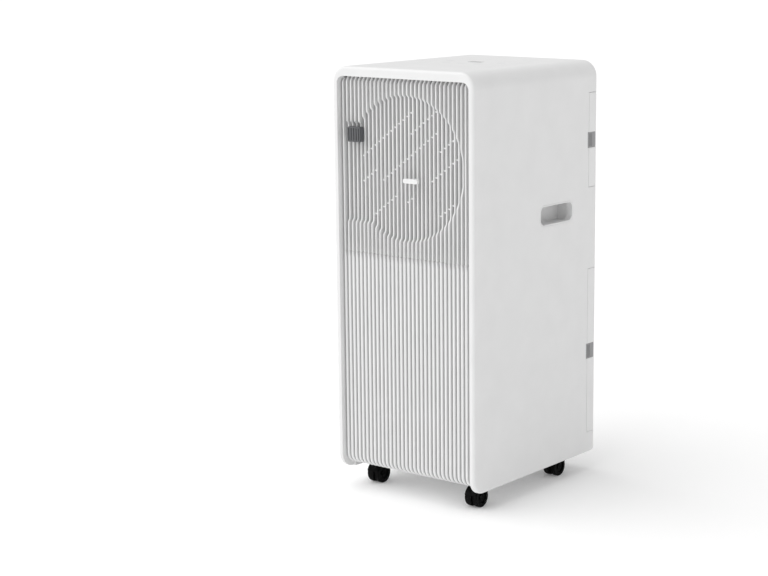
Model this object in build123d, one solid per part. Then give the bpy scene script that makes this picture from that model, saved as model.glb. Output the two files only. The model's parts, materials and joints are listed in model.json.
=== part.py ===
from build123d import *
from math import cos, pi, radians, sin, sqrt
import os

# Portable air conditioner, in millimetres. The origin is on the floor under the middle of the
# cabinet, +Z is up, +Y is the rear and the outlet grille faces -Y.

# Overall size
WIDTH = 275.0
DEPTH = 335.0
HEIGHT = 680.0
CLEARANCE = 32.0            # floor to the underside of the cabinet
HALF_W = WIDTH / 2
HALF_D = DEPTH / 2

# Cabinet shell
WALL = 3.0
TOP_RADIUS = 26.0
CURL_RADIUS = 26.0          # the front curves under at the bottom
CURL_Y = -HALF_D + CURL_RADIUS
CURL_Z = CLEARANCE + CURL_RADIUS
FRONT_EDGE = 5.0            # rounding of the front and bottom edges
REAR_EDGE = 8.0             # rounding of the rear edge
REAR_RADIUS = 16.0          # corners of the rear opening
HEEL_RADIUS = 18.0          # rounding of the rear bottom edge
RIM_SIDE = 9.3              # front rim beside the ribs
RIM_TOP = 15.2              # front rim above the ribs
RIM_DEPTH = 14.0
REAR_RIM = 10.0
REAR_FRAME = 12.0           # depth of the frame round the rear opening
OPEN_RADIUS = 11.5
PAN_Z = CLEARANCE + 8       # underside of the base pan
BASE_SLOT = 123.0           # half width of the slot that the base pan closes
OPEN_HALF = HALF_W - RIM_SIDE
OPEN_TOP = HEIGHT - RIM_TOP

# Ribs and grille fins, which line up with each other
RIB_COUNT = 32
PITCH = 2 * (OPEN_HALF - 0.5) / RIB_COUNT
INSET = 8.0                 # rim face to rib crests
CREST_Y = -HALF_D + INSET
RIB_WIDTH = 4.9
RIB_DEPTH = 5.5
PANEL_TOP = 388.6           # where the ribs give way to the fins
PANEL_SKIN = 2.2
FIN_WIDTH = 2.8
FIN_BACK_Y = -147.0
CIRCLE_Z = 527.0            # round recess in the fins
CIRCLE_R = 114.0
RECESS = 4.5
RECESS_SLOPE = 5.0
NOTCH_X = (-119.0, -75.0)   # recess for the slider, running into the circle
NOTCH_Z = (436.0, 595.0)

# Louvres behind the grille
DUCT_X = 130.5
DUCT_Z = (392.0, 661.0)
DUCT_WALL = 2.5
DUCT_Y = (-145.5, -80.0)
VANE_COUNT = 5
VANE_Z = 510.0
VANE_PITCH = 52.0
VANE_Y = -104.0
VANE_CHORD = 28.0
VANE_X = (-122.0, 126.0)
LINK_ARM = 10.0
PIN_R = 2.0
RUN_GAP = 0.05              # radial clearance of a running fit
TAB_X = 2 * PITCH
DEFLECTOR_X = [TAB_X + 48.0 * (k - 1.5) for k in range(4)]
DEFLECTOR_Y = -135.0
DEFLECTOR_CHORD = 18.0
DEFLECTOR_Z = (398.0, 645.0)
DEFLECTOR_ARM = 7.0
DEFLECTOR_REST = -28.0      # blades turn from here to the mirrored angle
SLIDER_X = -12 * PITCH
SLIDER_Z = 575.0

# Rear panel, doors and fittings
REAR_FACE = 166.0
REAR_FLOOR = (150.0, 153.0)
REAR_HALF = 127.0
DOORS = {"upper": (476.7, 630.0), "lower": (67.5, 343.0)}
DOOR_WRAP_Y = 141.0
DOOR_GAP = 0.6
DOOR_SKIN = 4.0
HINGE_X = -121.5
HINGE_Y = HALF_D - DOOR_SKIN
TAB_HEIGHT = 24.6
TAB_FRONT_Y = 138.7
PORT_Z = 409.9
PORT_R = 58.0
PORT_WALL = 4.0
PLUG_R = 10.0
PLUG_STEM = 6.5
PLUGS = {"upper_drain_plug": (-98.0, 375.0), "lower_drain_plug": (-60.0, 56.0)}
GLAND = (98.0, 375.0)

# Carrying handles
HANDLE_Y = 50.6
HANDLE_Z = 444.6
HANDLE_LONG = 92.0
HANDLE_HIGH = 34.0

# Roof controls
PANEL_Y = 22.0
PANEL_SIZE = (150.0, 112.0)
KEY_R = 7.0
KEYS = {
    "power_button": (-50.0, PANEL_Y),
    "mode_button": (50.0, PANEL_Y),
    "down_button": (-32.0, PANEL_Y - 36.0),
    "speed_button": (0.0, PANEL_Y - 36.0),
    "up_button": (32.0, PANEL_Y - 36.0),
}
DISPLAY_SIZE = (26.0, 15.0)

# Casters: swivel axis and heading of the trail, in degrees from +X
CASTERS = {
    "front_right": (104.0, -112.0, 270.0),
    "front_left": (-104.0, -112.0, 90.0),
    "rear_right": (104.0, 90.0, 90.0),
    "rear_left": (-104.0, 90.0, 60.0),
}
WHEEL_R = 16.0
WHEEL_WIDTH = 9.0
WEB = 5.0                   # hood web between the two wheels
TRAIL = 6.0
AXLE_R = 2.5
STEM_R = 5.0
FORK_TOP = PAN_Z - 3

# Works inside
FAN_R = 98.0
FAN_Y = (-72.0, -37.0)
SHAFT_R = 4.0
MOTOR_R = 38.0
BLOWER = (30.0, 210.0)
BLOWER_Y = (22.0, 92.0)
BLOWER_R = 72.0
SCROLL_R = (80.0, 104.0)
DIVIDER_Z = (387.0, 481.0)
COIL_HALF = 118.0
COMPRESSOR = (-62.0, -74.0)
COMPRESSOR_Z = (61.0, 265.0)
LUG_ANGLES = (30, 150, 270)


def block(x, y, z):
    """Box between two corners, given as three (low, high) pairs."""
    box = Box(x[1] - x[0], y[1] - y[0], z[1] - z[0])
    return Pos((x[0] + x[1]) / 2, (y[0] + y[1]) / 2, (z[0] + z[1]) / 2) * box


def along_x(sketch, x0, x1):
    """Extrude a sketch drawn in (y, z)."""
    return extrude(Pos(x0, 0, 0) * (Plane.YZ * sketch), amount=x1 - x0, dir=(1, 0, 0))


def along_y(sketch, y0, y1):
    """Extrude a sketch drawn in (x, z)."""
    return extrude(Pos(0, y0, 0) * (Plane.XZ * sketch), amount=y1 - y0, dir=(0, 1, 0))


def along_z(sketch, z0, z1):
    """Extrude a sketch drawn in (x, y)."""
    return extrude(Pos(0, 0, z0) * sketch, amount=z1 - z0, dir=(0, 0, 1))


def rod_x(r, x0, x1, y, z):
    return along_x(Pos(y, z) * Circle(r), x0, x1)


def rod_y(r, y0, y1, x, z):
    return along_y(Pos(x, z) * Circle(r), y0, y1)


def rod_z(r, z0, z1, x, y):
    return along_z(Pos(x, y) * Circle(r), z0, z1)


def arch(half, z0, z1, top_r, bottom_r):
    """Upright rectangle with its own radius for the top and the bottom corners."""
    shape = Pos(0, (z0 + z1) / 2) * Rectangle(2 * half, z1 - z0)
    shape = fillet(shape.vertices().group_by(Axis.Y)[-1], top_r)
    if bottom_r:
        shape = fillet(shape.vertices().group_by(Axis.Y)[0], bottom_r)
    return shape


def rib_x(i):
    """Middle of rib or fin number i, counted from the left."""
    return (i - (RIB_COUNT - 1) / 2) * PITCH


# ---------------------------------------------------------------- cabinet

def shell_front():
    """Front half of the outside; one rounding runs right round its edge and along the bottom."""
    body = block((-HALF_W, HALF_W), (-HALF_D, 0), (CLEARANCE, HEIGHT))
    body = fillet(body.edges().filter_by(Axis.Y).group_by(Axis.Z)[-1], TOP_RADIUS)
    bottom = body.edges().filter_by(Axis.X).group_by(Axis.Z)[0]
    body = fillet(bottom.sort_by(Axis.Y)[0], CURL_RADIUS)
    return fillet(body.edges().filter_by(Axis.Z).group_by(Axis.Y)[0], FRONT_EDGE)


def shell_rear():
    body = block((-HALF_W, HALF_W), (0, HALF_D), (CLEARANCE, HEIGHT))
    body = fillet(body.edges().filter_by(Axis.Y).group_by(Axis.Z)[-1], TOP_RADIUS)
    body = fillet(body.faces().sort_by(Axis.Y)[-1].edges(), REAR_EDGE)
    middle_y, middle_z = HALF_D - HEEL_RADIUS, CLEARANCE + HEEL_RADIUS
    heel = block((-HALF_W, HALF_W), (middle_y, HALF_D), (CLEARANCE, middle_z))
    body -= heel - rod_x(HEEL_RADIUS, -HALF_W, HALF_W, middle_y, middle_z)
    return body & along_y(arch(HALF_W, CLEARANCE, HEIGHT, TOP_RADIUS, FRONT_EDGE), 0, HALF_D)


def shell_cavity():
    """Inside of the cabinet, which follows the curl behind the front rim."""
    front, back = -HALF_D + RIM_DEPTH, HALF_D - REAR_FRAME
    inner = arch(HALF_W - WALL, PAN_Z, HEIGHT - WALL, TOP_RADIUS - WALL, 1)
    side = Pos((front + back) / 2, HEIGHT / 2 + CURL_Z / 2) * Rectangle(back - front, HEIGHT - CURL_Z)
    side += Pos((CURL_Y + back) / 2, CURL_Z - 20) * Rectangle(back - CURL_Y, 40)
    side += Pos(CURL_Y, CURL_Z) * Circle(CURL_RADIUS - RIM_DEPTH)
    return along_y(inner, front, back) & along_x(side, -HALF_W, HALF_W)


def front_opening():
    """Opening in the front, which also clears the underside of the curl."""
    back = -HALF_D + RIM_DEPTH
    hole = along_y(arch(OPEN_HALF, -50, OPEN_TOP, OPEN_RADIUS, 0), -HALF_D - 30, back)
    return hole + block((-OPEN_HALF, OPEN_HALF), (-HALF_D - 1, CURL_Y), (0, CURL_Z))


def cabinet_shell():
    body = shell_front() + shell_rear() - shell_cavity() - front_opening()
    rear = arch(HALF_W - REAR_RIM, CLEARANCE + 12, HEIGHT - 12, REAR_RADIUS, 2)
    body -= along_y(rear, HALF_D - REAR_FRAME, HALF_D + 1)
    body -= block((-BASE_SLOT, BASE_SLOT), (CURL_Y - 1, HALF_D - 16), (0, PAN_Z))
    for low, high in DOORS.values():
        body -= block((HALF_W - REAR_RIM - 4, HALF_W + 1), (DOOR_WRAP_Y, HALF_D + 1), (low, high))
        middle = (low + high) / 2
        reach = TAB_HEIGHT / 2 + DOOR_GAP
        body -= block(
            (HALF_W - WALL - 1, HALF_W + 1), (TAB_FRONT_Y - DOOR_GAP, DOOR_WRAP_Y + 1),
            (middle - reach, middle + reach),
        )
    for side in (-1, 1):
        hole = handle_outline(0)
        body -= along_x(hole, side * (HALF_W - 6), side * (HALF_W + 1))
    body -= along_z(Pos(0, PANEL_Y) * RectangleRounded(*PANEL_SIZE, 12), HEIGHT - 8, HEIGHT + 1)
    return body


def rib_profile():
    """Cross-section of the front panel in (x, y): a skin with round-nosed ribs on it."""
    nose = RIB_WIDTH / 2
    base_y = CREST_Y + RIB_DEPTH
    shape = Pos(0, base_y + PANEL_SKIN / 2) * Rectangle(2 * OPEN_HALF - 1, PANEL_SKIN)
    for i in range(RIB_COUNT):
        length = RIB_DEPTH - nose + 0.5
        shape += Pos(rib_x(i), base_y + 0.5 - length / 2) * Rectangle(RIB_WIDTH, length)
        shape += Pos(rib_x(i), CREST_Y + nose) * Circle(nose)
    return shape


def front_panel():
    """The ribs run straight down and then curl under through a quarter turn."""
    profile = rib_profile()
    body = along_z(profile, CURL_Z, PANEL_TOP)
    bend_axis = Axis((0, CURL_Y, CURL_Z), (1, 0, 0))
    body += revolve(Pos(0, 0, CURL_Z) * profile, bend_axis, 90)
    return body


def in_recess(x):
    """Heights between which the fin at x is set back, or None."""
    spans = []
    if abs(x) < CIRCLE_R - 1:
        rise = sqrt(CIRCLE_R ** 2 - x ** 2)
        spans.append((CIRCLE_Z - rise, CIRCLE_Z + rise))
    if NOTCH_X[0] < x < NOTCH_X[1]:
        spans.append(NOTCH_Z)
    if not spans:
        return None
    return min(s[0] for s in spans), max(s[1] for s in spans)


def fin(x):
    """One upright grille fin; its front edge steps back inside the round recess."""
    low, high = PANEL_TOP + 0.5, OPEN_TOP - 0.5
    deep_y = CREST_Y + RECESS
    edge = [(CREST_Y, low)]
    span = in_recess(x)
    if span:
        edge += [(CREST_Y, span[0]), (deep_y, span[0] + RECESS_SLOPE)]
        edge += [(deep_y, span[1] - RECESS_SLOPE), (CREST_Y, span[1])]
    edge += [(CREST_Y, high - 6), (CREST_Y + 2.5, high), (FIN_BACK_Y, high), (FIN_BACK_Y, low)]
    return along_x(make_face(Polyline(*edge, close=True)), x - FIN_WIDTH / 2, x + FIN_WIDTH / 2)


def corner_trim():
    """What the rounded corners of the opening leave for the grille."""
    return along_y(arch(OPEN_HALF - 0.4, 300, OPEN_TOP - 0.4, OPEN_RADIUS, 0), -HALF_D, 0)


def outlet_grille():
    frame_y = (FIN_BACK_Y - 4, FIN_BACK_Y)
    half, low, high = OPEN_HALF - 0.5, PANEL_TOP + 0.5, OPEN_TOP - 0.5
    body = block((-half, half), frame_y, (low, high))
    body -= block((-half + 5, half - 5), (-200, 0), (low + 6, high - 6))
    for z in (CIRCLE_Z - CIRCLE_R - 6, CIRCLE_Z + CIRCLE_R + 4):
        body += block((-half, half), frame_y, (z - 1.2, z + 1.2))
    for i in range(RIB_COUNT):
        body += fin(rib_x(i))
    return body & corner_trim()


def base_pan():
    half, front, back = HALF_W - WALL - 1.1, CURL_Y + 0.5, 148.5
    low = PAN_Z
    body = block((-half, half), (front, back), (low, low + 3))
    walls = block((-half, half), (front, back), (low, low + 26))
    walls -= block((-half + 2.5, half - 2.5), (front + 2.5, back - 2.5), (low - 1, low + 27))
    body += walls
    for x, y, _ in CASTERS.values():
        body += rod_z(12, low, low + 24, x, y)
    for x, y, _ in CASTERS.values():
        body -= rod_z(8.05, low - 1, low + 25, x, y)
    for x, z in rear_screws():
        body -= rod_y(1.7, back - 4, back + 1, x, z)
    plug_x, plug_z = PLUGS["lower_drain_plug"]
    body += rod_y(9, back - 1, REAR_FACE - 6, plug_x, plug_z)
    return body - rod_y(PLUG_STEM + RUN_GAP, back - 4, REAR_FACE, plug_x, plug_z)


# ---------------------------------------------------------------- rear

def rear_panel():
    half, low, high = REAR_HALF, CLEARANCE + 12.5, HEIGHT - 12.5
    outline = arch(half, low, high, REAR_RADIUS - 0.5, 1.5)
    body = along_y(outline, REAR_FLOOR[0], REAR_FACE)
    for door_low, door_high in DOORS.values():
        body -= block((-half + 0.8, half + 1), (REAR_FLOOR[1], 170), (door_low, door_high))
        body -= block((-108, 112), (140, 160), (door_low + 9, door_high - 9))
    body -= block((-90, 90), (140, REAR_FACE - 3), (346.5, 473.2))
    body -= rod_y(PORT_R + PORT_WALL + 0.4, 140, 170, 0, PORT_Z)
    for x, z in [*PLUGS.values(), GLAND]:
        body -= rod_y(PLUG_R + 0.5, REAR_FACE - 6, 170, x, z)
        body -= rod_y(9.4, 140, 170, x, z)
    for x, z in rear_screws():
        body -= rod_y(3.7, REAR_FACE - 2.5, 170, x, z)
        body -= rod_y(1.7, 140, 170, x, z)
    for door_low, door_high in DOORS.values():
        body -= rod_z(1.5 + RUN_GAP, door_low - 9, door_high + 9, HINGE_X, HINGE_Y)
    for door_low, door_high in DOORS.values():
        body += intake_bars(door_low + 9, door_high - 9)
    spout_x, spout_z = PLUGS["upper_drain_plug"]
    body += rod_y(10, 144, REAR_FACE - 6, spout_x, spout_z)
    return body - rod_y(PLUG_STEM + RUN_GAP, 140, 170, spout_x, spout_z)


def intake_bars(low, high):
    """Guard bars across an intake window."""
    bars = block((-108.5, 112.5), REAR_FLOOR, ((low + high) / 2 - 1.5, (low + high) / 2 + 1.5))
    for x in (-53, 2, 57):
        bars += block((x - 1.5, x + 1.5), REAR_FLOOR, (low - 0.5, high + 0.5))
    return bars


def rear_screws():
    return [(-112, 650), (112, 650), (-112, 55), (112, 55)]


def cabinet_screws():
    screws = []
    for x, z in rear_screws():
        screws.append(rod_y(3.4, REAR_FACE - 2.4, REAR_FACE - 0.4, x, z)
                      + rod_y(1.5, 144, REAR_FACE - 2, x, z))
    return Compound(screws)


def filter_door(low, high):
    """Louvred cover, hinged at the left and wrapping round the right rear corner."""
    z = (low + DOOR_GAP, high - DOOR_GAP)
    outline = Pos(0, 0) * Rectangle(2 * HALF_W, 2 * HALF_D)
    outline = fillet(outline.vertices().group_by(Axis.X)[-1].group_by(Axis.Y)[-1], REAR_EDGE)
    inner = Rectangle(2 * (HALF_W - WALL), 2 * HINGE_Y)
    inner = fillet(inner.vertices().group_by(Axis.X)[-1].group_by(Axis.Y)[-1], REAR_EDGE - WALL)
    keep = Pos(HALF_W, HALF_D) * Rectangle(
        2 * (HALF_W - HINGE_X), 2 * (HALF_D - DOOR_WRAP_Y - DOOR_GAP))
    edge = Pos(HINGE_X, HINGE_Y) * Circle(DOOR_SKIN)
    body = along_z((outline - inner) & keep, *z)
    body += along_z(edge, *z) & block((-200, 200), (HINGE_Y - 2, 200), z)
    body += rod_z(1.5, z[0] - 7, z[1] + 7, HINGE_X, HINGE_Y)
    middle = (low + high) / 2
    body -= block(
        (HALF_W - WALL - 1, HALF_W + 1), (TAB_FRONT_Y - 1, HALF_D - REAR_EDGE + 0.3),
        (middle - TAB_HEIGHT / 2 - 0.3, middle + TAB_HEIGHT / 2 + 0.3),
    )
    return body - louvre_slots(low + 14, high - 14)


def louvre_slots(low, high):
    """Rows of slots in three columns."""
    pitch = 9.0
    rows = int((high - low) / pitch)
    start = (low + high - (rows - 1) * pitch) / 2
    slot = along_y(SlotOverall(66, 4.2), HINGE_Y - 1, HALF_D + 1)
    return Compound([
        Pos(x, 0, start + row * pitch) * slot for x in (-71, 1, 73) for row in range(rows)
    ])


def door_tab(low, high):
    """Grey pull tab let into the side of a filter door."""
    middle = (low + high) / 2
    z = (middle - TAB_HEIGHT / 2, middle + TAB_HEIGHT / 2)
    back = HALF_D - REAR_EDGE
    body = block((HALF_W - WALL, HALF_W), (TAB_FRONT_Y, back), z)
    body += block((HALF_W - WALL - 2, HALF_W - WALL), (DOOR_WRAP_Y + 2, back - 6), (z[0] + 3, z[1] - 3))
    for k in range(4):
        y = TAB_FRONT_Y + 3 + 2.4 * k
        body -= block((HALF_W - 0.8, HALF_W + 1), (y, y + 1.0), (z[0] + 2, z[1] - 2))
    return body


def filter_mesh(low, high):
    """Washable filter: a rim, cross bars and a thin sheet of net."""
    z = (low + 7, high - 7)
    x, y = (-110.0, 116.0), (157.5, 161.5)
    body = block(x, y, z) - block((x[0] + 5, x[1] - 5), (150, 170), (z[0] + 5, z[1] - 5))
    body += block((x[0] + 4, x[1] - 4), (159.2, 160.0), (z[0] + 4, z[1] - 4))
    for k in range(1, 4):
        bar = x[0] + k * (x[1] - x[0]) / 4
        body += block((bar - 1.5, bar + 1.5), y, z)
    return body


def exhaust_collar():
    """Round socket that the exhaust hose pushes into."""
    body = rod_y(PORT_R + PORT_WALL, 145.8, HALF_D, 0, PORT_Z)
    body += rod_y(PORT_R + 7, 145.8, 149.6, 0, PORT_Z)
    body -= rod_y(PORT_R, 140, 170, 0, PORT_Z)
    return body


def exhaust_duct():
    """Elbow from the top of the blower scroll to the collar; its mouth is the hose's stop."""
    x, y, z = (-70.0, 66.0), (BLOWER_Y[0], 145.5), (347.5, 472.5)
    body = block(x, y, z) - block((x[0] + 2, x[1] - 2), (y[0] + 2, y[1] - 2), (z[0] + 2, z[1] - 2))
    body -= rod_y(PORT_R - 2, 100, 170, 0, PORT_Z)
    body -= block(scroll_mouth(2), (BLOWER_Y[0] + 2, BLOWER_Y[1] - 2), (335, 355))
    return body


def cord_gland():
    x, z = GLAND
    body = rod_y(PLUG_R, REAR_FACE - 5.7, REAR_FACE - 2, x, z)
    body += rod_y(7.5, 144, REAR_FACE + 1, x, z)
    body -= rod_y(4.0, 140, 170, x, z)
    return body


def drain_plug(x, z):
    body = rod_y(PLUG_R, REAR_FACE - 5.5, REAR_FACE - 2.5, x, z)
    body += rod_y(PLUG_STEM, 147, REAR_FACE - 3, x, z)
    body += block((x - 1.5, x + 1.5), (REAR_FACE - 3, REAR_FACE + 1), (z - 8, z + 8))
    return body


# ---------------------------------------------------------------- handles and roof

def handle_outline(shrink):
    long, high = HANDLE_LONG - 2 * shrink, HANDLE_HIGH - 2 * shrink
    return Pos(HANDLE_Y, HANDLE_Z) * RectangleRounded(long, high, 11.5 - shrink)


def handle_cups():
    """A grip pocket in each side, deeper behind its upper lip so that the fingers hook in."""
    skin = 2.4
    floor_x = HALF_W - 32
    lip = along_x(handle_outline(0.3), HALF_W - WALL - 1, HALF_W)
    y = (HANDLE_Y - HANDLE_LONG / 2 - 1.5, HANDLE_Y + HANDLE_LONG / 2 + 1.5)
    z = (HANDLE_Z - HANDLE_HIGH / 2 - 1.5, HANDLE_Z + HANDLE_HIGH / 2 + 14)
    body = block((floor_x, HALF_W - WALL - 0.3), y, z) + lip
    body -= along_x(handle_outline(skin), HALF_W - 12, HALF_W + 1)
    body -= block(
        (floor_x + skin, HALF_W - 11), (y[0] + skin, y[1] - skin), (z[0] + skin, z[1] - skin))
    return Compound([body, mirror(body, Plane.YZ)])


def control_panel():
    long, wide = PANEL_SIZE
    z = (HEIGHT - 4, HEIGHT)
    body = along_z(Pos(0, PANEL_Y) * RectangleRounded(long - 0.7, wide - 0.7, 11.6), *z)
    for x, y in KEYS.values():
        body -= rod_z(KEY_R + 0.35, z[0] - 1, z[1] + 1, x, y)
    window = RectangleRounded(DISPLAY_SIZE[0] + 0.2, DISPLAY_SIZE[1] + 0.2, 2.6)
    body -= along_z(Pos(0, PANEL_Y) * window, HEIGHT - 2, HEIGHT + 1)
    return body


def display_window():
    window = RectangleRounded(*DISPLAY_SIZE, 2.5)
    return along_z(Pos(0, PANEL_Y) * window, HEIGHT - 1.9, HEIGHT)


def key(x, y):
    body = rod_z(KEY_R, HEIGHT - 8, HEIGHT, x, y)
    body = fillet(body.edges().group_by(Axis.Z)[-1], 0.8)
    body += rod_z(KEY_R + 1.6, HEIGHT - 8, HEIGHT - 5, x, y)
    return body


def control_board():
    long, wide = PANEL_SIZE
    body = block(
        (-long / 2 + 8, long / 2 - 8), (PANEL_Y - wide / 2 + 8, PANEL_Y + wide / 2 - 8),
        (HEIGHT - 14, HEIGHT - 12.4),
    )
    for x, y in KEYS.values():
        body += block((x - 3, x + 3), (y - 3, y + 3), (HEIGHT - 13, HEIGHT - 10))
    return body


# ---------------------------------------------------------------- louvres

def vane_z(i):
    return VANE_Z + (i - (VANE_COUNT - 1) / 2) * VANE_PITCH


def vane(z):
    """Level blade with a pivot pin at each end and a link pin at the left."""
    half = VANE_CHORD / 2
    section = Pos(VANE_Y, z) * SlotOverall(VANE_CHORD, 2.6)
    body = along_x(section, *VANE_X)
    body += rod_x(PIN_R, -DUCT_X, DUCT_X, VANE_Y, z)
    body += rod_x(1.5, VANE_X[0] - 4.8, VANE_X[0] + 4, VANE_Y + LINK_ARM, z)
    body += along_x(Pos(VANE_Y + half - 4, z) * Circle(2.6), VANE_X[0], VANE_X[0] + 3)
    return body


def vane_link():
    body = block((VANE_X[0] - 4.5, VANE_X[0] - 1), (VANE_Y + LINK_ARM - 3, VANE_Y + LINK_ARM + 3),
                 (vane_z(0) - 6, vane_z(VANE_COUNT - 1) + 6))
    for i in range(VANE_COUNT):
        body -= rod_x(1.5 + RUN_GAP, VANE_X[0] - 6, VANE_X[0], VANE_Y + LINK_ARM, vane_z(i))
    return body


def vane_tab():
    """Finger tab in front of the fins; its neck passes between two of them."""
    z = VANE_Z
    plate = block((TAB_X - 14, TAB_X + 14), (-167, -162), (z - 3.5, z + 3.5))
    plate = fillet(plate.edges().filter_by(Axis.Y), 2.5)
    neck = block((TAB_X - 1.5, TAB_X + 1.5), (-163, VANE_Y - VANE_CHORD / 2 + 0.1), (z - 3, z + 3))
    clip = block((TAB_X - 6, TAB_X + 6), (VANE_Y - VANE_CHORD / 2 - 1, VANE_Y - 4), (z - 3, z + 3))
    blade = block((TAB_X - 9, TAB_X + 9), (VANE_Y - VANE_CHORD / 2 - 0.05, VANE_Y), (z - 1.35, z + 1.35))
    return plate + (neck + clip - blade)


def deflector(x):
    """Upright blade with a pivot at top and bottom and a link pin on top."""
    low, high = DEFLECTOR_Z
    body = along_z(SlotOverall(DEFLECTOR_CHORD, 4.2, 90), low, high)
    body += rod_z(PIN_R, DUCT_Z[0], DUCT_Z[1], 0, 0)
    body += rod_z(1.5, high - 1, high + 6, 0, DEFLECTOR_ARM)
    return Pos(x, DEFLECTOR_Y, 0) * Rot(0, 0, DEFLECTOR_REST) * body


def deflector_link():
    y = DEFLECTOR_Y + DEFLECTOR_ARM * cos(radians(DEFLECTOR_REST))
    shift = -DEFLECTOR_ARM * sin(radians(DEFLECTOR_REST))
    high = DEFLECTOR_Z[1]
    x = (DEFLECTOR_X[0] + shift - 6, DEFLECTOR_X[-1] + shift + 6)
    body = block(x, (y - 3, y + 3), (high + 1, high + 5))
    for pivot in DEFLECTOR_X:
        body -= rod_z(1.5 + RUN_GAP, high, high + 6, pivot + shift, y)
    return body


def slider():
    """Grey finger block in the notch, on a stem that passes between two fins."""
    x, z = SLIDER_X, SLIDER_Z
    body = block((x - 12.5, x + 12.5), (-166.5, -157), (z - 11.7, z + 11.7))
    body = fillet(body.edges().filter_by(Axis.Y), 2)
    for k in range(5):
        groove = x - 10 + 5 * k - 0.8
        body -= block((groove, groove + 1.6), (-168, -165.3), (z - 9.5, z + 9.5))
    body += block((x - 1.5, x + 1.5), (-157.5, FIN_BACK_Y + 0.6), (z - 6, z + 6))
    return body


def fan_duct():
    """Outlet duct that carries the louvres, with the fan's ring and the motor's arms behind it."""
    low, high = DUCT_Z
    inner = arch(DUCT_X - DUCT_WALL, low + DUCT_WALL, high - DUCT_WALL, 17.5, 0)
    body = along_y(arch(DUCT_X, low, high, 20, 0), *DUCT_Y)
    body -= along_y(inner, DUCT_Y[0] - 1, DUCT_Y[1] - DUCT_WALL)
    body += rod_y(FAN_R + 8.5, DUCT_Y[1] - 1, -30, 0, CIRCLE_Z)
    body -= rod_y(FAN_R + 6, -100, -20, 0, CIRCLE_Z)
    for angle in (90, 210, 330):
        arm = block((MOTOR_R + 2, FAN_R + 7), (-34, -26), (-4, 4))
        body += Pos(0, 0, CIRCLE_Z) * Rot(0, -angle, 0) * arm
    body += rod_y(MOTOR_R + 3, -34, -14, 0, CIRCLE_Z)
    body -= rod_y(MOTOR_R + 0.2, -31, -10, 0, CIRCLE_Z)
    body -= rod_y(12, -40, -10, 0, CIRCLE_Z)
    for i in range(VANE_COUNT):
        body -= rod_x(PIN_R + RUN_GAP, -DUCT_X - 1, DUCT_X + 1, VANE_Y, vane_z(i))
    for x in DEFLECTOR_X:
        body -= rod_z(PIN_R + RUN_GAP, low - 1, high + 1, x, DEFLECTOR_Y)
    return body


# ---------------------------------------------------------------- works

def axial_fan():
    y0, y1 = FAN_Y
    ring = rod_y(FAN_R, y0, y1, 0, 0) - rod_y(30, y0 - 1, y1 + 1, 0, 0)
    body = rod_y(34, y0 + 3, y1 - 1, 0, 0)
    body = fillet(body.edges().group_by(Axis.Y)[0], 8)
    blade = Pos(66, (y0 + y1) / 2, 0) * Rot(35, 0, 0) * Box(80, 2.4, 52)
    for k in range(5):
        body += (Rot(0, 72 * k, 0) * blade) & ring
    body -= rod_y(SHAFT_R + RUN_GAP, y0 + 12, y1 + 1, 0, 0)
    return Pos(0, 0, CIRCLE_Z) * body


def motor(x, y, z, shaft):
    """Motor can facing -Y or +Y, with its shaft."""
    y0, y1 = y
    body = rod_y(MOTOR_R, y0, y1, x, z)
    body = fillet(body.edges().filter_by(GeomType.CIRCLE), 5)
    return body + rod_y(SHAFT_R, shaft[0], shaft[1], x, z)


def fan_motors():
    x, z = BLOWER
    return Compound([
        motor(0, (-30.5, 8), CIRCLE_Z, (-58, -29)),
        motor(x, (-30, 12), z, (10, 70)),
    ])


def blower_wheel():
    """Drum of forward-curved blades between a back plate and a front ring."""
    x, z = BLOWER
    y0, y1 = BLOWER_Y[0] + 6, BLOWER_Y[1] - 6
    body = rod_y(BLOWER_R, y0, y0 + 2, 0, 0) + rod_y(16, y0, y0 + 34, 0, 0)
    body += rod_y(BLOWER_R, y1 - 3, y1, 0, 0) - rod_y(BLOWER_R - 12, y1 - 4, y1 + 1, 0, 0)
    blade = block((-6, 6), (y0 + 1, y1 - 1), (-0.9, 0.9))
    for k in range(24):
        angle = 15 * k
        body += Rot(0, angle, 0) * Pos(BLOWER_R - 7, 0, 0) * Rot(0, 30, 0) * blade
    body -= rod_y(SHAFT_R + RUN_GAP, y0 - 1, y1 + 1, 0, 0)
    return Pos(x, 0, z) * body


def scroll_mouth(inset):
    """Left and right of the scroll's upward outlet."""
    x, _ = BLOWER
    return x - SCROLL_R[1] + inset + 2, x - 16 - inset


def scroll_outline(grow):
    """Spiral that widens clockwise from the tongue and leaves upward at the left."""
    x, z = BLOWER
    points = []
    for k in range(13):
        turn = radians(60 - 20 * k)
        r = SCROLL_R[0] + (SCROLL_R[1] - SCROLL_R[0]) * k / 12 + grow
        points.append((x + r * cos(turn), z + r * sin(turn)))
    top = 347.0
    left = points[-1][0]
    tongue = scroll_mouth(0)[1] + grow
    edge = Spline(*points) + Polyline(points[-1], (left, top), (tongue, top), points[0])
    return make_face(edge)


def blower_scroll():
    y0, y1 = BLOWER_Y
    x, z = BLOWER
    body = along_y(scroll_outline(0), y0, y1) - along_y(scroll_outline(-2.2), y0 + 2, y1 - 2)
    body -= rod_y(BLOWER_R - 10, y1 - 4, y1 + 1, x, z)
    body -= rod_y(10, y0 - 1, y0 + 4, x, z)
    body -= block(scroll_mouth(2.2), (y0 + 2, y1 - 2), (335, 355))
    return body


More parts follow.
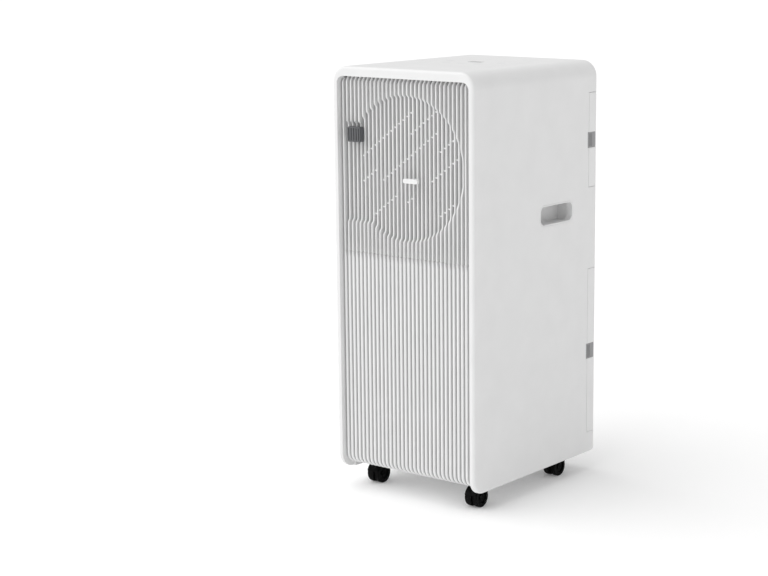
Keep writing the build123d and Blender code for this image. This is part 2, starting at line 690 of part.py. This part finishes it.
def coil(z0, z1, y0):
    """Finned block with return bends at both ends."""
    y1 = y0 + 38
    body = block((-COIL_HALF, COIL_HALF), (y0, y1), (z0, z1))
    fins = int(2 * COIL_HALF / 9)
    slots = []
    for k in range(fins):
        x = -COIL_HALF + 4 + 9 * k
        slots.append(block((x, x + 6), (y0 - 1, y0 + 17), (z0 + 3, z1 - 3)))
        slots.append(block((x, x + 6), (y1 - 17, y1 + 1), (z0 + 3, z1 - 3)))
    body -= Compound(slots)
    bend = revolve(Plane.YZ * (Pos(0, 9) * Circle(3.5)), Axis.Y, 180)
    count = int((z1 - z0) / 38)
    for row in (y0 + 10, y1 - 10):
        for k in range(count):
            z = z0 + 19 + k * (z1 - z0 - 38) / (count - 1)
            body += Pos(COIL_HALF - 0.5, row, z) * bend
            body += Pos(-COIL_HALF + 0.5, row, z) * Rot(0, 180, 0) * bend
    return body


def divider():
    """Stepped sheet between the room-air side above and the hot side below."""
    low, high = DIVIDER_Z
    half = 133.6
    body = block((-half, half), (-144, -8), (low - 3, low))
    body += block((-half, half), (-11, -8), (low - 3, high))
    body += block((-half, half), (-11, 148), (high - 3, high))
    return body - rod_z(6, high - 5, high + 1, -125, 119)


def lug_places():
    x, y = COMPRESSOR
    turns = [radians(angle) for angle in LUG_ANGLES]
    return [(x + 52 * cos(turn), y + 52 * sin(turn)) for turn in turns]


def compressor():
    x, y = COMPRESSOR
    low, high = COMPRESSOR_Z
    body = rod_z(52, low, high, x, y)
    body = fillet(body.edges().filter_by(GeomType.CIRCLE), 22)
    body += rod_z(54, 145, 149, x, y)
    for px, py in lug_places():
        body += rod_z(12, low - 2, low + 2, px, py)
    body += rod_z(42, low - 2, low + 2, x, y)
    return body + rod_z(5, high - 4, high + 10, x, y)


def compressor_feet():
    """Rubber grommets between the compressor's lugs and the base."""
    top = COMPRESSOR_Z[0] - 2
    return Compound([rod_z(9, PAN_Z + 3, top, px, py) for px, py in lug_places()])


def electrical_box():
    x, y, z = (12.0, 122.0), (-140.0, -48.0), (257.0, 367.0)
    body = block(x, y, z) - block((x[0] + 2, x[1] - 2), (y[0] + 2, y[1] - 2), (z[0] + 2, z[1] + 1))
    body += block((x[0] + 12, x[0] + 46), (y[0] + 20, y[1] - 20), (z[0] + 1, z[1] - 20))
    return body


def pipe(points, radius):
    path = FilletPolyline(*points, radius=radius)
    start = Plane(origin=path @ 0, z_dir=path % 0)
    return sweep(start * Circle(4), path=path)


def refrigerant_pipes():
    """Hot-gas pipe to the condenser and suction pipe from the evaporator."""
    x, y = COMPRESSOR
    hot = [(x, y, 275.3), (x, y, 355), (-112, y, 355), (-112, 113, 355), (-112, 113, 339.3)]
    cold = [(x + 52.3, y, 220), (x + 66, y, 220), (x + 66, y, 371), (-125, y, 371),
            (-125, 119, 371), (-125, 119, 492)]
    return Compound([pipe(hot, 10), pipe(cold, 8)])


# ---------------------------------------------------------------- casters

def caster_fork(x, y, angle):
    """Hood, stem and axle, built with the trail along +X and then turned."""
    half = WHEEL_WIDTH + WEB / 2
    round_wheel = Pos(TRAIL, WHEEL_R) * Circle(WHEEL_R + 0.7)
    hood = along_y(Pos(TRAIL, WHEEL_R) * Circle(WHEEL_R + 2.2), -half + 1.5, half - 1.5)
    hood -= along_y(round_wheel, -half, -WEB / 2)
    hood -= along_y(round_wheel, WEB / 2, half)
    above = block((-20, 60), (-40, 40), (WHEEL_R + 5, 60))
    hood &= above + block((-20, 60), (-WEB / 2, WEB / 2), (8, 60))
    neck = rod_z(9, 26, FORK_TOP, 0, 0) - along_y(round_wheel, -40, 40)
    web = block((0, TRAIL), (-WEB / 2, WEB / 2), (WHEEL_R - 5, 30))
    stem = rod_z(STEM_R, FORK_TOP - 4, FORK_TOP + 20, 0, 0)
    axle = rod_y(AXLE_R, -half + 0.6, half - 0.6, TRAIL, WHEEL_R)
    body = hood + neck + web + stem + axle
    return Pos(x, y, 0) * Rot(0, 0, angle) * body


def caster_wheels(x, y, angle):
    wheels = []
    for side in (-1, 1):
        inner, outer = side * (WEB / 2 + 0.5), side * (WEB / 2 + WHEEL_WIDTH)
        low, high = min(inner, outer), max(inner, outer)
        wheel = rod_y(WHEEL_R, low, high, TRAIL, WHEEL_R)
        wheel = fillet(wheel.edges().filter_by(GeomType.CIRCLE), 1.5)
        wheel -= rod_y(AXLE_R + RUN_GAP, low - 1, high + 1, TRAIL, WHEEL_R)
        dish = sorted((outer - side * 2, outer + side))
        wheel -= rod_y(10.5, *dish, TRAIL, WHEEL_R) - rod_y(5, *dish, TRAIL, WHEEL_R)
        wheels.append(wheel)
    return Pos(x, y, 0) * Rot(0, 0, angle) * Compound(wheels)


def caster_sockets():
    sockets = []
    for x, y, _ in CASTERS.values():
        socket = rod_z(8, PAN_Z, PAN_Z + 23, x, y) + rod_z(11, PAN_Z - 2, PAN_Z, x, y)
        sockets.append(socket - rod_z(STEM_R + RUN_GAP, 30, PAN_Z + 20, x, y))
    return Compound(sockets)


def parts():
    made = {
        "cabinet_shell": cabinet_shell(),
        "front_panel": front_panel(),
        "outlet_grille": outlet_grille(),
        "rear_panel": rear_panel(),
        "base_pan": base_pan(),
        "cabinet_screws": cabinet_screws(),
        "exhaust_collar": exhaust_collar(),
        "exhaust_duct": exhaust_duct(),
        "cord_gland": cord_gland(),
        "handle_cups": handle_cups(),
        "control_panel": control_panel(),
        "display_window": display_window(),
        "control_board": control_board(),
        "vane_link": vane_link(),
        "vane_tab": vane_tab(),
        "deflector_link": deflector_link(),
        "slider": slider(),
        "fan_duct": fan_duct(),
        "axial_fan": axial_fan(),
        "fan_motors": fan_motors(),
        "blower_wheel": blower_wheel(),
        "blower_scroll": blower_scroll(),
        "evaporator_coil": coil(487.0, 645.0, 103.0),
        "condenser_coil": coil(67.0, 339.0, 103.0),
        "divider": divider(),
        "compressor": compressor(),
        "compressor_feet": compressor_feet(),
        "electrical_box": electrical_box(),
        "refrigerant_pipes": refrigerant_pipes(),
        "caster_sockets": caster_sockets(),
    }
    for name, span in DOORS.items():
        made[f"{name}_filter_door"] = filter_door(*span)
        made[f"{name}_door_tab"] = door_tab(*span)
        made[f"{name}_filter_mesh"] = filter_mesh(*span)
    for name, place in PLUGS.items():
        made[name] = drain_plug(*place)
    for name, place in KEYS.items():
        made[name] = key(*place)
    for i in range(VANE_COUNT):
        made[f"vane_{i + 1}"] = vane(vane_z(i))
    for i, x in enumerate(DEFLECTOR_X):
        made[f"deflector_{i + 1}"] = deflector(x)
    for name, place in CASTERS.items():
        made[f"caster_fork_{name}"] = caster_fork(*place)
        made[f"caster_wheels_{name}"] = caster_wheels(*place)
    return made


os.makedirs("parts", exist_ok=True)
for node, shape in parts().items():
    export_step(shape, f"parts/{node}.step")
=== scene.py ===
import json
from math import cos, pi, radians, sin, sqrt

import bmesh
import bpy
from mathutils import Matrix, Vector


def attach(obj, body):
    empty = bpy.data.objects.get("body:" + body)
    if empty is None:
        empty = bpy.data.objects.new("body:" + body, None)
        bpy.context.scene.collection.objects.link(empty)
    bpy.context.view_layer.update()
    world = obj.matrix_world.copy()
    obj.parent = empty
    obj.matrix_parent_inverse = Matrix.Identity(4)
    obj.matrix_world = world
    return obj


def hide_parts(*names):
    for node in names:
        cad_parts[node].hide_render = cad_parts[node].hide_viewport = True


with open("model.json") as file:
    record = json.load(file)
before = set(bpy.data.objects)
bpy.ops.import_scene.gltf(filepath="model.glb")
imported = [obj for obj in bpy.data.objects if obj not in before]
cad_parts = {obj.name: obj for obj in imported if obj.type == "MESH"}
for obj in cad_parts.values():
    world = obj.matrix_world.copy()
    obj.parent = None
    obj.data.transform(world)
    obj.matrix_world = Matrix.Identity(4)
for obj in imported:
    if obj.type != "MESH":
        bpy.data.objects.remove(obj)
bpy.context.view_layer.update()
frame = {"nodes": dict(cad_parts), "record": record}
nodes = frame["nodes"]

MM = 0.001

# ---------------------------------------------------------------- camera, light and floor

VIEW_AZIMUTH = radians(37.12)       # from straight in front towards the right side
VIEW_ELEVATION = radians(10.86)
VIEW_DISTANCE = 3.011
VIEW_ROLL = radians(-0.19)
VIEW_HEIGHT = 0.3174                # height of the point that the camera looks at
LENS = 87.29
SENSOR_WIDTH = 36
SHIFT_X = -0.1097                   # the object stands right of the middle of the frame
CLIP_END = 200                      # beyond the floor's far corners

SKY_STRENGTH = 0.625
KEY_SOURCE = (-0.8, -0.78, 1.3)     # the key light comes from here: left, in front and above
KEY_ENERGY = 1.75
KEY_ANGLE = radians(85)             # wide, so its shadows are soft

FLOOR_HALF = 70
FLOOR_WHITE = 0.93
FLOOR_ROUGH = 0.9
FLOOR_GLOW = 0.1                    # lifts the floor to the backdrop's white


def camera():
    data = bpy.data.cameras.new("camera")
    data.lens = LENS
    data.sensor_width = SENSOR_WIDTH
    data.shift_x = SHIFT_X
    data.clip_end = CLIP_END
    level = cos(VIEW_ELEVATION)
    back = Vector((sin(VIEW_AZIMUTH) * level, -cos(VIEW_AZIMUTH) * level, sin(VIEW_ELEVATION)))
    right = Vector((0, 0, 1)).cross(back).normalized()
    up = back.cross(right)
    turned = right * cos(VIEW_ROLL) + up * sin(VIEW_ROLL)
    axes = Matrix((turned, back.cross(turned), back)).transposed()
    place = Vector((0, 0, VIEW_HEIGHT)) + back * VIEW_DISTANCE
    made = bpy.data.objects.new("camera", data)
    made.matrix_world = Matrix.Translation(place) @ axes.to_4x4()
    bpy.context.scene.collection.objects.link(made)
    bpy.context.scene.camera = made


def sun(name, source, energy, angle):
    """Sun lamp; source is the direction that its light comes from."""
    data = bpy.data.lights.new(name, "SUN")
    data.energy = energy
    data.angle = angle
    made = bpy.data.objects.new(name, data)
    made.rotation_euler = Vector(source).to_track_quat("Z", "Y").to_euler()
    bpy.context.scene.collection.objects.link(made)


def studio():
    world = bpy.data.worlds.new("studio")
    world.use_nodes = True
    sky = world.node_tree.nodes["Background"]
    sky.inputs["Color"].default_value = (1, 1, 1, 1)
    sky.inputs["Strength"].default_value = SKY_STRENGTH
    bpy.context.scene.world = world
    bpy.context.scene.view_settings.view_transform = "Standard"
    sun("key_light", KEY_SOURCE, KEY_ENERGY, KEY_ANGLE)


def floor():
    half = FLOOR_HALF
    corners = [(-half, -half, 0), (half, -half, 0), (half, half, 0), (-half, half, 0)]
    mesh = bpy.data.meshes.new("floor")
    mesh.from_pydata(corners, [], [(0, 1, 2, 3)])
    made = bpy.data.objects.new("floor", mesh)
    bpy.context.scene.collection.objects.link(made)
    paint = bpy.data.materials.new("floor_paint")
    paint.use_nodes = True
    shader = paint.node_tree.nodes["Principled BSDF"]
    shader.inputs["Base Color"].default_value = (FLOOR_WHITE, FLOOR_WHITE, FLOOR_WHITE, 1)
    shader.inputs["Roughness"].default_value = FLOOR_ROUGH
    shader.inputs["Specular IOR Level"].default_value = 0.0
    shader.inputs["Emission Color"].default_value = (1, 1, 1, 1)
    shader.inputs["Emission Strength"].default_value = FLOOR_GLOW
    mesh.materials.append(paint)


# ---------------------------------------------------------------- materials

CLOUD_SIZE = 45 * MM                # lumps of slightly lighter and darker plastic
GLOSS_SIZE = 12 * MM                # lumps of slightly duller and glossier plastic
GLOSS_SPREAD = 0.05
GRAIN_SIZE = 0.9 * MM
GRAIN_HEIGHT = 0.05 * MM

STAIN_SIZE = 30 * MM                # lumps of slightly lighter and darker metal
STAIN_TONE = 0.06
BRUSH_SIZE = 6 * MM
BRUSH_SPREAD = 0.08                 # change of roughness between the brush lines
BRUSH_STRENGTH = 0.25
BRUSH_HEIGHT = 0.05 * MM

NET_TONE = 0.5                      # the threads are lighter and the holes darker by this share
NET_ROUGH = 0.8
NET_STRENGTH = 0.7
NET_HEIGHT = 0.3 * MM

NOISE_MIDDLE = (0.3, 0.7)           # range that most of a noise's values lie in
MIX_A = 6                           # the Mix node's colour sockets share their names with others
MIX_B = 7
MIX_RESULT = 2


def add(tree, kind, settings=None, **values):
    """New shader node; a value is a number, a colour or the socket to link from."""
    made = tree.nodes.new("ShaderNode" + kind)
    for key, value in (settings or {}).items():
        setattr(made, key, value)
    for key, value in values.items():
        socket = made.inputs[key.replace("_", " ")]
        if isinstance(value, bpy.types.NodeSocket):
            tree.links.new(value, socket)
        else:
            socket.default_value = value
    return made


def blank(name):
    material = bpy.data.materials.new(name)
    material.use_nodes = True
    tree = material.node_tree
    return material, tree, tree.nodes["Principled BSDF"]


def noise(tree, size, detail, where=None):
    """Noise with lumps of the given size in metres."""
    if where is None:
        where = add(tree, "TexCoord").outputs["Object"]
    made = add(tree, "TexNoise", Vector=where, Scale=1 / size, Detail=detail)
    return made.outputs["Fac"]


def spread(tree, value, low, high):
    """Stretch the middle of a noise to the range low to high."""
    made = add(tree, "MapRange", Value=value, From_Min=NOISE_MIDDLE[0], From_Max=NOISE_MIDDLE[1],
               To_Min=low, To_Max=high)
    return made.outputs["Result"]


def tinted(tree, color, amount, value):
    """The colour, from darker to lighter by amount as value goes from 0 to 1."""
    dark = [c * (1 - amount) for c in color] + [1]
    light = [min(1, c * (1 + amount)) for c in color] + [1]
    made = add(tree, "Mix", {"data_type": "RGBA"})
    tree.links.new(value, made.inputs["Factor"])
    made.inputs[MIX_A].default_value = dark
    made.inputs[MIX_B].default_value = light
    return made.outputs[MIX_RESULT]


def plastic(name, color, rough=0.45, grain=0.5, grain_size=GRAIN_SIZE, tone=0.015, coat=0.0, shine=0.5):
    """Moulded plastic: faintly uneven in tone and gloss, with a fine spark-eroded grain."""
    material, tree, shader = blank(name)
    cloud = spread(tree, noise(tree, CLOUD_SIZE, detail=3), 0, 1)
    speck = noise(tree, grain_size, detail=3)
    tree.links.new(tinted(tree, color, tone, cloud), shader.inputs["Base Color"])
    lumps = noise(tree, GLOSS_SIZE, detail=4)
    gloss = spread(tree, lumps, rough - GLOSS_SPREAD, rough + GLOSS_SPREAD)
    tree.links.new(gloss, shader.inputs["Roughness"])
    bump = add(tree, "Bump", Height=speck, Strength=grain, Distance=GRAIN_HEIGHT)
    tree.links.new(bump.outputs["Normal"], shader.inputs["Normal"])
    shader.inputs["Coat Weight"].default_value = coat
    shader.inputs["Specular IOR Level"].default_value = shine
    return material


def metal(name, color, rough, brush=(1, 1, 40)):
    """Bare metal; brush scales the noise's coordinates, and the lines run across its largest."""
    material, tree, shader = blank(name)
    where = add(tree, "TexCoord").outputs["Object"]
    drawn = add(tree, "VectorMath", {"operation": "MULTIPLY"})
    tree.links.new(where, drawn.inputs[0])
    drawn.inputs[1].default_value = brush
    lines = noise(tree, BRUSH_SIZE, detail=3, where=drawn.outputs[0])
    stain = spread(tree, noise(tree, STAIN_SIZE, detail=4), 0, 1)
    tree.links.new(tinted(tree, color, STAIN_TONE, stain), shader.inputs["Base Color"])
    gloss = spread(tree, lines, rough - BRUSH_SPREAD, rough + BRUSH_SPREAD)
    tree.links.new(gloss, shader.inputs["Roughness"])
    shader.inputs["Metallic"].default_value = 1.0
    bump = add(tree, "Bump", Height=lines, Strength=BRUSH_STRENGTH, Distance=BRUSH_HEIGHT)
    tree.links.new(bump.outputs["Normal"], shader.inputs["Normal"])
    return material


def net(name, color, pitch):
    """Woven net: two crossed waves lift the threads and darken the holes."""
    material, tree, shader = blank(name)
    where = add(tree, "TexCoord").outputs["Object"]
    threads = []
    for axis in ("X", "Z"):
        wave = add(tree, "TexWave", {"bands_direction": axis}, Vector=where, Scale=1 / pitch)
        threads.append(wave.outputs["Fac"])
    crossed = add(tree, "Math", {"operation": "MAXIMUM"})
    tree.links.new(threads[0], crossed.inputs[0])
    tree.links.new(threads[1], crossed.inputs[1])
    height = crossed.outputs[0]
    tree.links.new(tinted(tree, color, NET_TONE, height), shader.inputs["Base Color"])
    shader.inputs["Roughness"].default_value = NET_ROUGH
    bump = add(tree, "Bump", Height=height, Strength=NET_STRENGTH, Distance=NET_HEIGHT)
    tree.links.new(bump.outputs["Normal"], shader.inputs["Normal"])
    return material


def finish(material, *names):
    """Give the CAD nodes the material."""
    for name in names:
        data = nodes[name].data
        data.materials.clear()
        data.materials.append(material)


# ---------------------------------------------------------------- shapes

# Sizes are in millimetres from here on, as in the CAD.

OPEN_HALF = 128.2                   # half the width of the cabinet's front opening
OPEN_TOP = 664.8
OPEN_CORNER = 11.5                  # radius of its upper corners
PANEL_GAP = 0.5                     # between the opening and the ribbed panel on each side
FRAME_GAP = 1                       # between the opening and the bars that hold the fins

RIB_COUNT = 32
PITCH = 2 * (OPEN_HALF - PANEL_GAP) / RIB_COUNT
CREST_Y = -159.5
RIB_WIDTH = 4.9
RIB_DEPTH = 5.5
RIB_ROOT = 0.3                      # how far a rib reaches into the panel's skin
SKIN = 2.2
PANEL_BOTTOM = 40.0
PANEL_TOP = 388.6
TAPER = 11.0                        # the ribs narrow to the fins over this height
TAPER_STEPS = 6
RIB_HEIGHTS = [140, 260]            # rings between the curl and the taper
CURL_R = 18.0                       # from the curl's middle to the crests
CURL_Y = CREST_Y + CURL_R
CURL_Z = PANEL_BOTTOM + CURL_R
CURL_STEPS = 9

FIN_WIDTH = 2.8
FIN_BACK_Y = -147.0
FIN_FOOT = PANEL_TOP + 0.5
FIN_HEAD_GAP = 0.9
FIN_RINGS = 130
FIN_BEND = 4.5                      # the fins' tops curve back this far
FIN_BEND_HEIGHT = 7.0

CIRCLE_Z = 527.0                    # the fins are set back inside a circle and a notch beside it
CIRCLE_R = 114.0
NOTCH_X = (-119.0, -35.0)           # the notch's right end lies inside the circle
NOTCH_Z = (436.0, 595.0)
RECESS = 4.5
SLOPE = 5.0                         # width of the step between the levels

FOOT_BAR_DEPTH = 4                  # the bars hold the fins along their back edges
FOOT_BAR_HEIGHT = 6
HEAD_BAR_HEIGHT = 5
HEAD_BAR_INSET = 8                  # keeps the bar clear of the opening's round corners
SIDE_BAR_WIDTH = 4
SIDE_BAR_DROP = 12                  # from the top of the frame to the side bars' ends
BAR_DEPTH = 1
CROSS_HALF = 1.2                    # half the height of the cross bars and of the ties
CROSS_BELOW = 6                     # from the circle to the cross bars under and over it
CROSS_ABOVE = 4


def ease(t):
    t = max(0.0, min(1.0, t))
    return t * t * (3 - 2 * t)


def rib_x(i):
    return (i - (RIB_COUNT - 1) / 2) * PITCH


def loft(mesh, rings, shade_painted=()):
    """Closed skin through rings of points in millimetres that all have the same length.
    The strips whose numbers are in the last argument get the second material, a darker copy of the
    first that paints shade on them."""
    rows = [[mesh.verts.new(Vector(p) * MM) for p in ring] for ring in rings]
    count = len(rings[0])
    for low, high in zip(rows, rows[1:]):
        for k in range(count):
            n = (k + 1) % count
            face = mesh.faces.new((low[k], low[n], high[n], high[k]))
            face.material_index = 1 if k in shade_painted else 0
    mesh.faces.new(list(reversed(rows[0])))
    mesh.faces.new(rows[-1])


def block(mesh, x, y, z):
    """Box between two corners, given as three (low, high) pairs."""
    rings = [[(x[0], y[0], h), (x[1], y[0], h), (x[1], y[1], h), (x[0], y[1], h)] for h in z]
    loft(mesh, rings)


SHARP_ANGLE = radians(38)


def piece(name, mesh, materials, body, slot, *replaced):
    """Finished object from a bmesh: rides on the body and stands for the replaced CAD nodes."""
    bmesh.ops.recalc_face_normals(mesh, faces=mesh.faces)
    data = bpy.data.meshes.new(name)
    mesh.to_mesh(data)
    mesh.free()
    for face in data.polygons:
        face.use_smooth = True
    data.set_sharp_from_angle(angle=SHARP_ANGLE)
    for material in materials:
        data.materials.append(material)
    made = bpy.data.objects.new(name, data)
    bpy.context.scene.collection.objects.link(made)
    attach(made, body)
    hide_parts(*replaced)


NOSE_STEPS = 8
# Strips of a nose's outline that get painted shade: each side wall with the strip next to it, and the
# back.
SHADE_PAINTED_STRIPS = (0, 1, NOSE_STEPS, NOSE_STEPS + 1, NOSE_STEPS + 2)


def nose(half, depth):
    """Round-nosed outline (across, back) of a rib, from the left foot over the crest."""
    points = [(-half, depth)]
    for k in range(NOSE_STEPS + 1):
        turn = pi * k / NOSE_STEPS
        points.append((-half * cos(turn), half * (1 - sin(turn))))
    points.append((half, depth))
    return points


def on_front(x, back, along):
    """Point of the front at a depth back from the crests. Along is its height, and below the
    curl's start it counts on downwards round the curl."""
    if along >= CURL_Z:
        return (x, CREST_Y + back, along)
    turn = (CURL_Z - along) / CURL_R
    reach = CURL_R - back
    return (x, CURL_Y - reach * cos(turn), CURL_Z - reach * sin(turn))


def curl_stations():
    """Places round the quarter turn, from where the ribs point straight back up to its start."""
    return [CURL_Z - CURL_R * (pi / 2) * (1 - k / CURL_STEPS) for k in range(CURL_STEPS)]


def rib_rings(x, stations):
    rings = []
    for along in stations:
        full = ease((PANEL_TOP - along) / TAPER)
        half = (FIN_WIDTH + (RIB_WIDTH - FIN_WIDTH) * full) / 2
        outline = nose(half, RIB_DEPTH + RIB_ROOT)
        rings.append([on_front(x + across, back, along) for across, back in outline])
    return rings


def skin_rings(stations):
    """The thin wall that the ribs stand on."""
    half = OPEN_HALF - PANEL_GAP
    face, inside = RIB_DEPTH, RIB_DEPTH + SKIN
    edge = ((-half, face), (half, face), (half, inside), (-half, inside))
    return [[on_front(x, back, along) for x, back in edge] for along in stations]


def ribbed_front(materials):
    mesh = bmesh.new()
    taper = [PANEL_TOP - TAPER * (1 - k / TAPER_STEPS) for k in range(TAPER_STEPS + 1)]
    for i in range(RIB_COUNT):
        loft(mesh, rib_rings(rib_x(i), curl_stations() + [CURL_Z] + RIB_HEIGHTS + taper), SHADE_PAINTED_STRIPS)
    # the skin's front, which floors the grooves, and its back get the painted-shade material
    shade_painted_faces = (0, 2)
    loft(mesh, skin_rings(curl_stations() + [CURL_Z, PANEL_TOP]), shade_painted_faces)
    piece("ribbed_front", mesh, materials, "cabinet", "white_front", "front_panel")


def recess(x, z):
    """How far the fins' front edges are set back at a place."""
    circle = CIRCLE_R - sqrt(x * x + (z - CIRCLE_Z) ** 2)
    notch = min(x - NOTCH_X[0], NOTCH_X[1] - x, z - NOTCH_Z[0], NOTCH_Z[1] - z)
    return RECESS * ease(max(circle, notch) / SLOPE)


def fin_rings(x):
    into_corner = max(0.0, abs(x) - (OPEN_HALF - OPEN_CORNER))
    high = OPEN_TOP - FIN_HEAD_GAP
    high -= OPEN_CORNER - sqrt(OPEN_CORNER ** 2 - into_corner ** 2)
    rings = []
    for k in range(FIN_RINGS + 1):
        z = FIN_FOOT + (high - FIN_FOOT) * k / FIN_RINGS
        bend = FIN_BEND * (1 - ease((high - z) / FIN_BEND_HEIGHT))
        y = CREST_Y + recess(x, z) + bend
        outline = nose(FIN_WIDTH / 2, FIN_BACK_Y - y)
        rings.append([(x + across, y + back, z) for across, back in outline])
    return rings


# Ties between neighbouring fins, one to a gap, along slanting rows:
# height of the row at the middle, and the x range of its gaps.
TIES = [(607, -88, 12), (575, 7, 63), (567.6, -93, -56), (542, -51, 58), (509, 58, 98),
        (500, -66, -17), (475, 41, 98), (475, -2, 15), (411, 58, 93)]
TIE_SLOPE = 0.75
TIE_SETBACK = 3.5                   # from the fins' crests
TIE_ROOT = 0.2                      # how far a tie reaches into the fins beside it
NECK_X = 2 * PITCH                  # the vane tab's neck sweeps this gap at these heights
NECK_Z = (485, 535)


def ties(mesh):
    half = PITCH / 2 - FIN_WIDTH / 2 + TIE_ROOT
    for row, left, right in TIES:
        for j in range(RIB_COUNT - 1):
            x = (j - (RIB_COUNT - 2) / 2) * PITCH
            z = row + TIE_SLOPE * x
            swept = abs(x - NECK_X) < PITCH / 2 and NECK_Z[0] < z < NECK_Z[1]
            if left <= x <= right and not swept:
                depth = (CREST_Y + recess(x, z) + TIE_SETBACK, FIN_BACK_Y)
                block(mesh, (x - half, x + half), depth, (z - CROSS_HALF, z + CROSS_HALF))


def bars(mesh):
    """Frame and cross bars along the fins' back edges."""
    half, top = OPEN_HALF - FRAME_GAP, OPEN_TOP - FRAME_GAP
    back = (FIN_BACK_Y - BAR_DEPTH, FIN_BACK_Y)
    foot_back = (FIN_BACK_Y - FOOT_BAR_DEPTH, FIN_BACK_Y)
    block(mesh, (-half, half), foot_back, (FIN_FOOT, FIN_FOOT + FOOT_BAR_HEIGHT))
    block(mesh, (-half + HEAD_BAR_INSET, half - HEAD_BAR_INSET), back, (top - HEAD_BAR_HEIGHT, top))
    for side in (-1, 1):
        across = tuple(sorted((side * half, side * (half - SIDE_BAR_WIDTH))))
        block(mesh, across, back, (FIN_FOOT, top - SIDE_BAR_DROP))
    for z in (CIRCLE_Z - CIRCLE_R - CROSS_BELOW, CIRCLE_Z + CIRCLE_R + CROSS_ABOVE):
        block(mesh, (-half, half), back, (z - CROSS_HALF, z + CROSS_HALF))


def outlet_fins(materials):
    mesh = bmesh.new()
    for i in range(RIB_COUNT):
        loft(mesh, fin_rings(rib_x(i)), SHADE_PAINTED_STRIPS)
    bars(mesh)
    ties(mesh)
    piece("outlet_fins", mesh, materials, "cabinet", "white_front", "outlet_grille")


# ---------------------------------------------------------------- scene

camera()
studio()
floor()

white = plastic("shell_white", (0.80, 0.80, 0.80))
front = plastic("front_white", (0.82, 0.82, 0.82), rough=0.42)
# painted shade: a darker copy of front_white for the ribs' side walls and the floors of the grooves
groove_shade = plastic("groove_painted_shade", (0.66, 0.66, 0.66), rough=0.7)
# painted shade: a darker copy of front_white for the fins' side walls
fin_side_shade = plastic("fin_side_painted_shade", (0.74, 0.74, 0.74), rough=0.6)
key_white = plastic("key_white", (0.74, 0.74, 0.75), rough=0.35, grain=0.2)
grey = plastic("slider_grey", (0.10, 0.102, 0.108), rough=0.55, grain=0.8)
tab_grey = plastic("tab_grey", (0.31, 0.31, 0.315), rough=0.55, grain=0.8)
black = plastic("caster_black", (0.003, 0.003, 0.003), rough=0.45, grain=0.3, shine=0.06)
tread = plastic("wheel_black", (0.003, 0.003, 0.003), rough=0.6, grain=0.9, tone=0.1, shine=0.08)
window = plastic("window_dark", (0.012, 0.014, 0.016), rough=0.12, grain=0.0, coat=0.6)
duct = plastic("duct_white", (0.62, 0.63, 0.64), rough=0.6)
fan = plastic("fan_grey", (0.26, 0.27, 0.28), rough=0.5)
rubber = plastic("soft_rubber", (0.07, 0.07, 0.075), rough=0.75, grain=1.0, tone=0.08)
board = plastic("board_green", (0.02, 0.14, 0.06), rough=0.35, grain=0.4, grain_size=3 * MM)
gloss = plastic("compressor_black", (0.015, 0.015, 0.016), rough=0.2, grain=0.6, coat=0.4)
steel = metal("motor_steel", (0.52, 0.53, 0.55), 0.38)
sheet = metal("sheet_steel", (0.58, 0.59, 0.60), 0.45, (40, 1, 1))
fins = metal("coil_aluminium", (0.72, 0.73, 0.75), 0.35, (120, 1, 1))
copper = metal("pipe_copper", (0.78, 0.38, 0.22), 0.28)
filter_net = net("filter_net", (0.10, 0.11, 0.12), 2 * MM)

BY_SLOT = {
    "white_shell": white, "white_front": front, "key_plastic": key_white, "grey_plastic": grey,
    "black_plastic": black, "wheel_tread": tread, "dark_window": window, "duct_plastic": duct,
    "fan_plastic": fan, "soft_rubber": rubber, "board_green": board, "compressor_paint": gloss,
    "motor_steel": steel, "sheet_steel": sheet, "coil_fins": fins, "copper_pipe": copper,
    "filter_net": filter_net,
}
for part in frame["record"]["subparts"]:
    finish(BY_SLOT[part["material_slot"]], part["node"])

finish(tab_grey, "upper_door_tab", "lower_door_tab")     # paler than the slider in the grille

ribbed_front((front, groove_shade))
outlet_fins((front, fin_side_shade))
